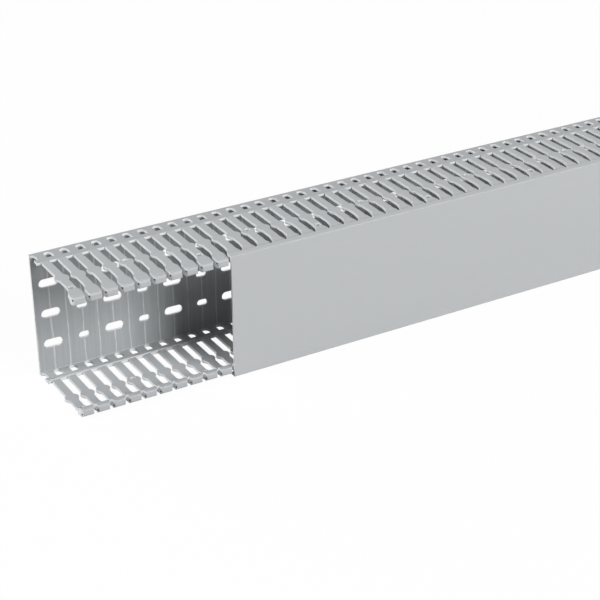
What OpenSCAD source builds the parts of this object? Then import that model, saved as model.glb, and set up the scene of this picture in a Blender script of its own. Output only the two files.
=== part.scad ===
/* [Duct] */
// Length of the duct and of its cover
duct_l = 1000; // [500:50:1200]
// Width over the two side walls
duct_w = 100; // [80:5:150]
// Depth from the back face to the cover face
duct_h = 80; // [70:5:100]
// Thickness of the back and of the side walls
wall_t = 2; // [1.6:0.1:2.4]
// Spacing of the fingers along the duct
pitch = 12.5; // [11:0.5:16]

/* [Fingers] */
// Width of the open slot between two fingers
slot_w = 6.2; // [4.5:0.1:7]
// Gap left at the wide neck of two fingers
neck_gap = 1.9; // [1.6:0.1:2.6]
// Gap left between two finger heads
head_gap = 2.4; // [2:0.1:3]
// Distance from the back face to the start of the slots
slot_from = 17; // [15:0.5:22]
// Distance from the back face to the middle of the neck
neck_at = 46.8; // [42:0.2:52]
// Length of the narrow gap at the neck
neck_len = 2.4; // [2:0.2:5]
// Length of the slope from the slot to the narrow gap
neck_ramp = 2.8; // [2:0.2:4]
// Length of the finger head
head_l = 11; // [9:0.5:13]
// Thickness of the finger head across the wall
head_t = 8; // [7:0.2:10]

/* [Wall holes] */
// Width of the arched holes beside the back
arch_w = 6; // [4:0.2:7]
// Length of the arched holes away from the back
arch_l = 9.2; // [8:0.2:10.5]
// Height of the long rib inside each wall
rib_h = 0.7; // [0.5:0.1:1.5]
// Bore of the small round holes in the fingers
pin_d = 4; // [2:0.2:4.6]

/* [Mounting slots] */
// Length of the large slots in the back
big_l = 15; // [12:0.5:18]
// Width of the large slots in the back
big_w = 7; // [5:0.5:9]
// Length of the small slots in the back
small_l = 8.6; // [7:0.2:11]
// Width of the small slots in the back
small_w = 5.2; // [4:0.2:6]

/* [Cover] */
// How far the cover is slid along the duct
cover_slid = 124; // [0:1:200]
// Thickness of the cover
cover_t = 1.5; // [1.2:0.1:1.8]
// Depth of the cover flanges from the cover face
flange_l = 6; // [5.8:0.1:7]
// Outer radius of the cover corners
corner_r = 0.8; // [0.5:0.1:1.2]
// Height of the snap bead inside each flange
bead_h = 0.5; // [0.4:0.1:0.7]
// Clearance between cover and fingers
slip = 0.3; // [0.2:0.05:0.4]

/* [Hidden] */
$fn = 48;
pitches = floor(duct_l / pitch);
total_l = duct_l + cover_slid;
start_x = -total_l / 2;
back_y = duct_h / 2;
edge = duct_h - flange_l;
tip = duct_h - cover_t - slip;
head_from = tip - head_l;
seat = cover_t + slip;
bead_at = edge + 1.2;
bead_w = 1.6;
rib_from = slot_from - 2;
rib_to = slot_from - 1;
rib_slope = 0.4;
nose_r = 2.2;
pin_by_head = head_from - 3;
pin_by_neck = neck_at - 2;
ease = 0.8;
lead_in = 1;
beyond = 5;

// A finger seen from the end: [distance from the back, depth inwards].
// It curves in to the cover's seat, with a shallow groove for the snap bead and a thick round-nosed head.
function finger_side() = concat(
    [
        [0, 0],
        [edge - 12, 0],
        [edge - 8, 0.4],
        [edge - 3.6, seat - 0.4],
        [edge - slip, seat],
        [bead_at - bead_w / 2 - slip, seat],
        [bead_at, seat + bead_h],
        [bead_at + bead_w / 2 + slip, seat]
    ],
    [for (t = [15:25:90]) [tip - nose_r + nose_r * sin(t), seat + nose_r - nose_r * cos(t)]],
    [
        [tip, head_t - ease],
        [tip - ease, head_t],
        [head_from + 6.2, head_t],
        [head_from + 4.4, head_t - 2.3],
        [head_from + 2, wall_t + 2.1],
        [head_from - 6, wall_t],
        [rib_to + rib_slope, wall_t],
        [rib_to, wall_t + rib_h],
        [rib_from, wall_t + rib_h],
        [rib_from - rib_slope, wall_t],
        [wall_t, wall_t]
    ]
);

function back_to_front(p) = [for (i = [len(p) - 1:-1:0]) [p[i][0], duct_w - p[i][1]]];

// The slot between two fingers, from its square end out past the tips.
module slot_outline() {
    n = neck_len / 2;
    wide = slot_w / 2;
    narrow = neck_gap / 2;
    side = [
        [wide, slot_from],
        [wide, neck_at - n - neck_ramp],
        [wide - 0.4 * (wide - narrow), neck_at - n - 0.8 * neck_ramp],
        [narrow, neck_at - n],
        [narrow, neck_at + n],
        [wide - 0.4 * (wide - narrow), neck_at + n + 0.8 * neck_ramp],
        [wide, neck_at + n + 1.3 * neck_ramp],
        [wide, head_from - 1],
        [head_gap / 2, head_from + 2.4],
        [head_gap / 2, tip - 2],
        [head_gap / 2 + lead_in, tip],
        [head_gap / 2 + lead_in, tip + beyond]
    ];
    polygon(concat(side, [for (i = [len(side) - 1:-1:0]) [-side[i][0], side[i][1]]]));
}

module arch_outline() {
    r = arch_w / 2;
    from = wall_t + 0.8 + r;
    translate([0, from]) circle(r);
    translate([-r, from]) square([arch_w, wall_t + arch_l - from]);
}

module obround(l, w) {
    straight = l - w;
    for (s = [-1, 1]) translate([s * straight / 2, 0]) circle(w / 2);
    square([straight, w], center = true);
}

// Turns a plan drawn as [along, from the back] into cutters through both walls.
module through_walls() {
    translate([start_x, back_y, -1]) mirror([0, 1, 0]) linear_extrude(duct_w + 2) children();
}

module through_back() {
    translate([start_x, back_y + 1, 0]) rotate([90, 0, 0]) linear_extrude(wall_t + 2) children();
}

module duct_body() {
    color([0.72, 0.73, 0.73]) difference() {
        translate([start_x, back_y, 0]) rotate([90, 0, 90]) mirror([1, 0, 0]) linear_extrude(duct_l)
            polygon(concat(finger_side(), back_to_front(finger_side())));
        for (k = [0:pitches]) through_walls() translate([k * pitch, 0]) slot_outline();
        for (k = [0:pitches]) through_walls() translate([k * pitch, 0]) arch_outline();
        for (k = [0:8:pitches - 1])
            through_walls() translate([(k + 0.5) * pitch, pin_by_head]) circle(pin_d / 2);
        for (k = [4:8:pitches - 1])
            through_walls() translate([(k + 0.5) * pitch, pin_by_neck]) circle(pin_d / 2);
        for (k = [1:4:pitches - 1], r = [1:3])
            through_back() translate([k * pitch, r * duct_w / 4]) obround(big_l, big_w);
        for (k = [3:4:pitches - 1], r = [1:3])
            through_back() translate([k * pitch, r * duct_w / 4]) obround(small_l, small_w);
    }
}

// A quarter turn of the cover corner.
function corner(r, centre) = [for (t = [0:15:90]) [duct_h - centre + r * sin(t), centre - r * cos(t)]];

function cover_side() = concat([[edge, 0]], corner(corner_r, corner_r));

function cover_inside() = concat(
    [
        [edge, cover_t],
        [bead_at - bead_w / 2, cover_t],
        [bead_at, cover_t + bead_h],
        [bead_at + bead_w / 2, cover_t]
    ],
    corner(0.3, cover_t + 0.3)
);

module cover_outline() {
    inner = cover_inside();
    far = [for (p = inner) [p[0], duct_w - p[1]]];
    near = [for (i = [len(inner) - 1:-1:0]) inner[i]];
    polygon(concat(cover_side(), back_to_front(cover_side()), far, near));
}

module cover() {
    color([0.75, 0.76, 0.75]) translate([start_x + cover_slid, back_y, 0])
        rotate([90, 0, 90]) mirror([1, 0, 0]) linear_extrude(duct_l) cover_outline();
}

duct_body();
cover();
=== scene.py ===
import math

import bpy
from mathutils import Matrix, Vector


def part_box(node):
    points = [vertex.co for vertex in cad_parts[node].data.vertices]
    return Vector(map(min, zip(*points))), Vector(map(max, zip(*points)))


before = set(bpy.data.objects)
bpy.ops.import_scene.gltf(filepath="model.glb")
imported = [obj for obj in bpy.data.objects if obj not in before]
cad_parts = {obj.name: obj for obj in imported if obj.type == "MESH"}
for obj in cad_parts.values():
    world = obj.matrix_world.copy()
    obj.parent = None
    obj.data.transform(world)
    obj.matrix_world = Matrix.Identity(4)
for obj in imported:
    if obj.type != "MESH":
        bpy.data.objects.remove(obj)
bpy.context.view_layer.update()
print("frame loaded:", sorted(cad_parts))

white = (1, 1, 1, 1)
black = (0, 0, 0, 1)


# a colour as a shader takes it, made darker or paler by share
def toned(colour, share=1):
    return tuple(share * part for part in colour) + (1,)


class Socket:
    # one output of a node: an expression on it adds the Math nodes that work it out
    def __init__(self, shader, link):
        self.shader = shader
        self.link = link

    def math(self, operation, *others):
        values = dict(enumerate((self,) + others))
        return self.shader.node("ShaderNodeMath", {"operation": operation}, values)[0]

    def reverse(self, operation, other):
        return self.shader.node("ShaderNodeMath", {"operation": operation}, {0: other, 1: self})[0]

    def __add__(self, other):
        return self.math("ADD", other)

    def __radd__(self, other):
        return self.reverse("ADD", other)

    def __sub__(self, other):
        return self.math("SUBTRACT", other)

    def __rsub__(self, other):
        return self.reverse("SUBTRACT", other)

    def __mul__(self, other):
        return self.math("MULTIPLY", other)

    def __rmul__(self, other):
        return self.reverse("MULTIPLY", other)

    def __abs__(self):
        return self.math("ABSOLUTE")

    def __gt__(self, other):
        return self.math("GREATER_THAN", other)

    def __lt__(self, other):
        return self.math("LESS_THAN", other)

    # the larger of the two, which for masks means either
    def __or__(self, other):
        return self.math("MAXIMUM", other)

    # 0 below low, 1 above high, with a soft step between
    def smooth(self, low, high):
        settings = {"interpolation_type": "SMOOTHSTEP"}
        values = {"Value": self, "From Min": low, "From Max": high}
        return self.shader.node("ShaderNodeMapRange", settings, values)[0]

    # 1 where a face points mostly along this axis, either way
    def mostly(self):
        return abs(self) > 0.5


class Shader:
    # the node tree of a new material or world
    def __init__(self, owner):
        owner.use_nodes = True
        self.owner = owner
        self.tree = owner.node_tree
        self.tree.nodes.clear()

    # adds a node, sets it, fills its sockets, and returns its outputs
    def node(self, kind, settings=None, values=None):
        made = self.tree.nodes.new(kind)
        for key, value in (settings or {}).items():
            setattr(made, key, value)
        for key, value in (values or {}).items():
            if isinstance(value, Socket):
                self.tree.links.new(value.link, made.inputs[key])
            else:
                made.inputs[key].default_value = value
        return [Socket(self, output) for output in made.outputs if output.enabled]

    # a colour: the first where factor is 0, the second where it is 1
    def mix(self, factor, first, second):
        return self.node("ShaderNodeMix", {"data_type": "RGBA"}, {0: factor, 6: first, 7: second})[0]

    # the piece's own coordinates in metres, as a vector and as x, y and z
    def position(self):
        place = self.node("ShaderNodeTexCoord")[3]
        return place, self.node("ShaderNodeSeparateXYZ", None, {0: place})

    # x, y and z of the direction that the surface faces
    def facing(self):
        return self.node("ShaderNodeSeparateXYZ", None, {0: self.node("ShaderNodeTexCoord")[1]})

    # soft noise from 0 to 1; stretch holds how many times as many waves lie along each axis
    def noise(self, place, scale, detail, stretch=(1, 1, 1)):
        scaled = self.node("ShaderNodeMapping", None, {"Vector": place, "Scale": stretch})[0]
        return self.node("ShaderNodeTexNoise", None, {"Vector": scaled, "Scale": scale, "Detail": detail})[0]

    # how near an edge is, and the normal rounded over it: 0 on a flat face, and rising to 1 with
    # 1 - the cosine between the flat and the rounded normal
    def edge(self, radius, samples, span):
        rounded = self.node("ShaderNodeBevel", {"samples": samples}, {"Radius": radius})[0]
        flat = self.node("ShaderNodeNewGeometry")[1]
        dot = self.node("ShaderNodeVectorMath", {"operation": "DOT_PRODUCT"}, {0: rounded, 1: flat})[0]
        return (1 - dot).smooth(*span), rounded

    # 1 for what the camera, a glossy face or a clear one sees, and 0 for light that falls on the object
    def seen(self):
        path = self.node("ShaderNodeLightPath")
        return path[0] | path[3] | path[6]


# the finish that both extrusions share; each noise is its waves a metre, detail and stretch
plastic = {
    "drawn": (60, 3, (0.4, 14, 14)),     # lines that the die draws along the length
    "mottle": (130, 4),
    "grain": (2600, 2),
    "drawnShare": 0.35,                  # how much of each shows in the tone
    "mottleShare": 0.5,
    "grainShare": 0.3,
    "drawnHeight": 0.00002,              # how deep they are in the surface
    "grainHeight": 0.000008,
    "roughVariation": 0.12,
    "cutRougher": 0.12,
    "bump": 0.6,
    "ior": 1.4,
    "edgeSamples": 6,
    "edgeSpan": (0.004, 0.12),
}


# extruded PVC: tone = lines drawn along the length + mottle + grain, and cut faces and the faces near edges
# are paler, a painted highlight for their lit sides and rounded edges
def pvc(shader, place, values, cut):
    drawn = shader.noise(place, *plastic["drawn"]) - 0.5
    mottle = shader.noise(place, *plastic["mottle"]) - 0.5
    grain = shader.noise(place, *plastic["grain"]) - 0.5
    tone = drawn * plastic["drawnShare"] + mottle * plastic["mottleShare"] + 0.5
    tone = tone + grain * plastic["grainShare"]
    darker = toned(values["colour"], 1 - values["variation"])
    paler = toned(values["colour"], 1 + values["variation"])
    # painted highlight: cut faces take the pale colour of their lit sides
    colour = shader.mix(cut, shader.mix(tone, darker, paler), toned(values["cutHighlightColour"]))
    edge, rounded = shader.edge(values["edgeRadius"], plastic["edgeSamples"], plastic["edgeSpan"])
    # painted highlight: faces near an edge turn towards the same pale colour
    colour = shader.mix(edge * values["edgeHighlightShare"], colour, toned(values["cutHighlightColour"]))
    height = drawn * plastic["drawnHeight"] + grain * plastic["grainHeight"]
    rough = values["roughness"] + mottle * plastic["roughVariation"] + cut * plastic["cutRougher"]
    return colour, height, rough, rounded


def pvcSurface(shader, colour, height, rough, rounded):
    relief = {"Distance": 1.0, "Strength": plastic["bump"], "Height": height, "Normal": rounded}
    normal = shader.node("ShaderNodeBump", None, relief)[0]
    finish = {"Base Color": colour, "Roughness": rough, "Normal": normal, "IOR": plastic["ior"]}
    surface = shader.node("ShaderNodeBsdfPrincipled", None, finish)[0]
    shader.node("ShaderNodeOutputMaterial", None, {"Surface": surface})
    return shader.owner


duct = {
    "colour": (0.482, 0.502, 0.516),
    "cutHighlightColour": (0.76, 0.775, 0.785),   # painted highlight: the paler tone of the lit cut faces and of the faces near edges, also the pale side of the streaks
    "backShadedTone": 0.81,                    # painted shade: the back's inner face against the outer faces
    "wallShadedTone": 0.92,                    # painted shade: the walls' inner faces
    "stripShadedTone": 0.88,                   # painted shade: the walls' strips beside the back, darker than the fingers
    "variation": 0.05,
    "roughness": 0.44,
    "edgeRadius": 0.001,
    # painted highlight: how far faces near an edge turn to the pale colour
    "edgeHighlightShare": 0.75,
    "backEnds": 0.0019,                  # from the back's outer face to just short of its inner one
    "backInside": 0.0022,                # and to just past it
    "backFrom": 0.003,                   # from a wall's outer face to just past its inner one
    "fingersFrom": 0.0165,               # from the back to where the slots between the fingers start
    "curveFrom": 0.060,                  # and to where the fingers start to curve in
    "sawnFacing": 0.25,                  # a face that looks along the duct by more than this was cut
    "punchedFacing": 0.3,                # so was one that looks out of its wall by less than this
    "pitch": 0.0125,                     # spacing of the fingers and of the score lines
    "scoreColour": (0.9, 0.9, 0.9),
    "scoreShare": 0.42,
    "scoreWidth": (0.0002, 0.0008),      # a line is whole up to the first distance and gone at the second
    "scoreDepth": 0.00006,
    "scoreWander": 0.0024,               # how far a line strays, from side to side
    "wanderNoise": (60, 3, (1, 1, 0.8)),
    "scoreFaintest": 0.5,                # the faintest stretches of a line against the strongest
    "faintNoise": (220, 2, (1, 1, 0.6)),
    "faintSpan": (0.25, 0.6),
    "streaks": 0.4,
    "streakNoise": (420, 3, (1, 1, 0.03)),
    "streakColour": (0.1, 0.1, 0.1),
    "coreAt": (0.0770, 0.0042),          # thin hollow in each finger head: from the back, and inwards
    "coreRadius": 0.0007,
    # the painted shade inside each hollow
    "coreShadeColour": (0.03, 0.03, 0.03),
}


# cut faces are those that face along the duct, and the punched ones across a wall or the back
def ductCut(values, depth, inward, nx, ny, nz):
    wall = (depth > values["backInside"]) * (depth < values["curveFrom"])
    wall = wall * (abs(nz) < values["punchedFacing"])
    back = (depth < values["backEnds"]) * (inward > values["backFrom"])
    back = back * (abs(ny) < values["punchedFacing"])
    return (abs(nx) > values["sawnFacing"]) | wall | back


# one line up the back at each pitch, which wanders, and is stronger and fainter along its length
def ductScores(shader, values, place, fromEnd):
    wander = (shader.noise(place, *values["wanderNoise"]) - 0.5) * values["scoreWander"]
    fromLine = (fromEnd + wander).math("PINGPONG", values["pitch"] / 2)
    strength = shader.noise(place, *values["faintNoise"]).smooth(*values["faintSpan"])
    line = 1 - fromLine.smooth(*values["scoreWidth"])
    return line * (strength * (1 - values["scoreFaintest"]) + values["scoreFaintest"])


# painted shade: a dark spot on the sides of each head, inside a circle round the hollow's middle
def ductCoreShade(values, depth, inward, nx):
    coreDepth, coreInward = values["coreAt"]
    up = depth - coreDepth
    across = inward - coreInward
    return (up * up + across * across < values["coreRadius"] ** 2) * nx.mostly()


# the duct's PVC, with painted shade on the inner faces and on the strips beside the back, score lines and
# streaks inside the back, and a painted shade spot in each head's hollow
def ductPvc(values, low, high):
    shader = Shader(bpy.data.materials.new("ductPvc"))
    place, (x, y, z) = shader.position()
    nx, ny, nz = shader.facing()
    fromMiddle = z - (low.z + high.z) / 2
    depth = high.y - y                                  # distance from the back's outer face
    inward = (high.z - low.z) / 2 - abs(fromMiddle)     # distance from the nearer wall's outer face
    cut = ductCut(values, depth, inward, nx, ny, nz)
    colour, height, rough, rounded = pvc(shader, place, values, cut)
    insideBack = ny.mostly() * (ny < 0) * (depth < values["backInside"])
    insideWall = nz.mostly() * (nz * fromMiddle < 0)
    strip = nz.mostly() * (depth < values["fingersFrom"]) * (1 - insideWall)
    # painted shade: the inner faces and the strips beside the back are darkened towards black
    inner = insideBack * (1 - values["backShadedTone"]) | insideWall * (1 - values["wallShadedTone"])
    colour = shader.mix(inner | strip * (1 - values["stripShadedTone"]), colour, black)
    streak = (shader.noise(place, *values["streakNoise"]) - 0.5) * insideBack * values["streaks"]
    # the paler streaks reuse the highlight colour
    colour = shader.mix(streak | 0, colour, toned(values["cutHighlightColour"]))
    colour = shader.mix(streak * -1 | 0, colour, toned(values["streakColour"]))
    score = ductScores(shader, values, place, x - low.x) * insideBack
    colour = shader.mix(score * values["scoreShare"], colour, toned(values["scoreColour"]))
    # painted shade in each head's hollow
    colour = shader.mix(ductCoreShade(values, depth, inward, nx), colour, toned(values["coreShadeColour"]))
    return pvcSurface(shader, colour, height - score * values["scoreDepth"], rough, rounded)


ductLow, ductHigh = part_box("duct_body")
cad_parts["duct_body"].material_slots[0].material = ductPvc(duct, ductLow, ductHigh)
print("duct finished")


cover = {
    "colour": (0.51, 0.525, 0.536),
    # painted highlight on the sawn ends and near the edges
    "cutHighlightColour": (0.74, 0.755, 0.765),
    "variation": 0.03,
    "roughness": 0.42,
    "edgeRadius": 0.0004,
    "edgeHighlightShare": 0.3,
}


# the cover's PVC, paler at its sawn ends and near its edges: a painted highlight for their lit faces
def coverPvc(values):
    shader = Shader(bpy.data.materials.new("coverPvc"))
    place = shader.position()[0]
    sawn = shader.facing()[0].mostly()
    return pvcSurface(shader, *pvc(shader, place, values, sawn))


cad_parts["cover"].material_slots[0].material = coverPvc(cover)
print("cover finished")


studio = {
    "floorSize": 40.0,
    "floorColour": (0.4, 0.4, 0.4),
    "shadowShare": 0.04,     # how much of the floor's own shading shows beside the white
    "worldStrength": 0.05,
    "aim": (-0.3, 0, 0.05),
    # each lamp: turn from the cover's side towards the right, height angle, distance, size, power
    "lamps": {
        "keyLamp": (18, 28, 4.0, 2.0, 156),
        "sideLamp": (-105, 25, 4.0, 1.2, 112),
        "backLamp": (-168, 7, 4.0, 1.6, 85),
    },
}


# white to the camera and in reflections, plain to everything else
def makeFloor(values):
    side = values["floorSize"] / 2
    mesh = bpy.data.meshes.new("floor")
    corners = [(-side, -side, 0), (side, -side, 0), (side, side, 0), (-side, side, 0)]
    mesh.from_pydata(corners, [], [(0, 1, 2, 3)])
    floor = bpy.data.objects.new("floor", mesh)
    bpy.context.scene.collection.objects.link(floor)
    shader = Shader(bpy.data.materials.new("paleFloor"))
    seen = shader.seen()
    colour = shader.mix(seen, toned(values["floorColour"]), white)
    plain = shader.node("ShaderNodeBsdfDiffuse", None, {"Color": colour})[0]
    bright = shader.node("ShaderNodeEmission", None, {"Color": white, "Strength": 1.0})[0]
    factor = seen * (1 - values["shadowShare"])
    surface = shader.node("ShaderNodeMixShader", None, {0: factor, 1: plain, 2: bright})[0]
    shader.node("ShaderNodeOutputMaterial", None, {"Surface": surface})
    mesh.materials.append(shader.owner)


def makeWorld(strength):
    shader = Shader(bpy.data.worlds.new("whiteStudio"))
    level = shader.seen() * (1 - strength) + strength
    surface = shader.node("ShaderNodeBackground", None, {"Color": white, "Strength": level})[0]
    shader.node("ShaderNodeOutputWorld", None, {"Surface": surface})
    bpy.context.scene.world = shader.owner


# a square soft lamp that points at aim from a turn and a height angle, in degrees
def makeLamp(name, aim, turn, height, distance, size, power):
    light = bpy.data.lights.new(name, "AREA")
    light.energy = power
    light.shape = "SQUARE"
    light.size = size
    turn, height = math.radians(turn), math.radians(height)
    away = Vector((math.sin(turn) * math.cos(height), -math.cos(turn) * math.cos(height), math.sin(height)))
    lamp = bpy.data.objects.new(name, light)
    turned = away.to_track_quat("Z", "Y").to_matrix().to_4x4()
    lamp.matrix_world = Matrix.Translation(Vector(aim) + away * distance) @ turned
    bpy.context.scene.collection.objects.link(lamp)


makeFloor(studio)
makeWorld(studio["worldStrength"])
for lampName, lampValues in studio["lamps"].items():
    makeLamp(lampName, studio["aim"], *lampValues)
print("studio set")


view = {
    "at": (-0.92157, -0.97589, 0.60586),
    "looksAt": (-0.38103, -0.04, 0.04967),
    "roll": 0.64,            # degrees, to the right
    "lens": 97.1,
    "sensor": 36.0,
    "near": 0.05,
    "far": 50.0,
}


def makeCamera(values):
    data = bpy.data.cameras.new("camera")
    data.lens = values["lens"]
    data.sensor_width = values["sensor"]
    data.clip_start = values["near"]
    data.clip_end = values["far"]
    camera = bpy.data.objects.new("camera", data)
    direction = Vector(values["looksAt"]) - Vector(values["at"])
    turned = direction.to_track_quat("-Z", "Y").to_matrix().to_4x4()
    rolled = turned @ Matrix.Rotation(math.radians(-values["roll"]), 4, "Z")
    camera.matrix_world = Matrix.Translation(values["at"]) @ rolled
    bpy.context.scene.collection.objects.link(camera)
    bpy.context.scene.camera = camera


makeCamera(view)
bpy.context.scene.view_settings.view_transform = "Standard"
print("camera set")
